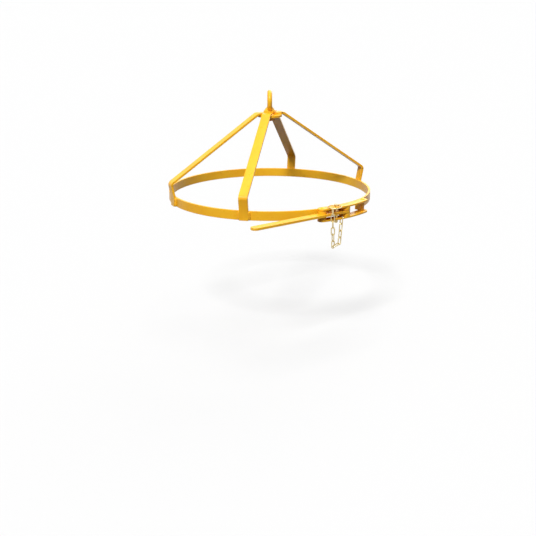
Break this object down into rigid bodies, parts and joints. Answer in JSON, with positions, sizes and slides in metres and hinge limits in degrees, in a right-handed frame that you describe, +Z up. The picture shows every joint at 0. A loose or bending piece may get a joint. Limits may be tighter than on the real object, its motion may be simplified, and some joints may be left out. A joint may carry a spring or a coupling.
{
  "type": "drum lifter",
  "caption": "Steel drum lifter: an over-centre lever closes a flat band round a drum below its rim, and bent arms carry the band from a central lifting eye.",
  "frame": {"origin": "centre of the lifting eye's ring", "axes": "+Z up along the drum axis, -Y towards the front of the picture, +X to its right, which is also the axis of the hole in the eye"},
  "size_m": [0.5866, 0.7305, 0.3887],
  "materials": {
    "yellow_paint": "semi-gloss enamel, chipped at edges",
    "zinc_pin": "bright zinc plate",
    "passivated_zinc": "yellowish passivated zinc plate"
  },
  "bodies": {
    "frame": {"clamp_band": "yellow_paint", "front_back_bar": "yellow_paint", "left_arm": "yellow_paint", "right_arm": "yellow_paint", "hub_plate": "yellow_paint", "eye_bolt": "yellow_paint", "eye_washer": "zinc_pin", "eye_nut": "yellow_paint", "foot_welds": "yellow_paint", "hub_welds": "yellow_paint", "lever_lug": "yellow_paint", "lever_pivot_pin": "zinc_pin", "keeper": "yellow_paint", "latch_welds": "yellow_paint"},
    "lever": {"lever": "yellow_paint", "upper_pivot_washer": "zinc_pin", "lower_pivot_washer": "zinc_pin"},
    "link": {"upper_link_plate": "yellow_paint", "lower_link_plate": "yellow_paint", "draw_pin": "yellow_paint", "upper_guide": "yellow_paint", "lower_guide": "yellow_paint", "tether_chain": "passivated_zinc"},
    "coupling_pin": {"coupling_pin": "passivated_zinc", "pin_ring": "passivated_zinc"}
  },
  "joints": [
    {"name": "lever_swing", "type": "hinge", "parent": "frame", "child": "lever", "pos_m": [0.20492, -0.23174, -0.2652], "axis": [0, 0, 1], "range_deg": [0, 135]},
    {"name": "link_pivot", "type": "hinge", "parent": "lever", "child": "link", "pos_m": [0.17834, -0.25213, -0.2652], "axis": [0, 0, 1], "range_deg": [-135, 0]},
    {"name": "pin_draw", "type": "slide", "parent": "link", "child": "coupling_pin", "axis": [0, 0, 1], "range_m": [0, 0.055], "deforming": ["tether_chain"]}
  ],
  "couplings": [
    {"joint": "link_pivot", "follows": "lever_swing", "ratio": -1}
  ]
}
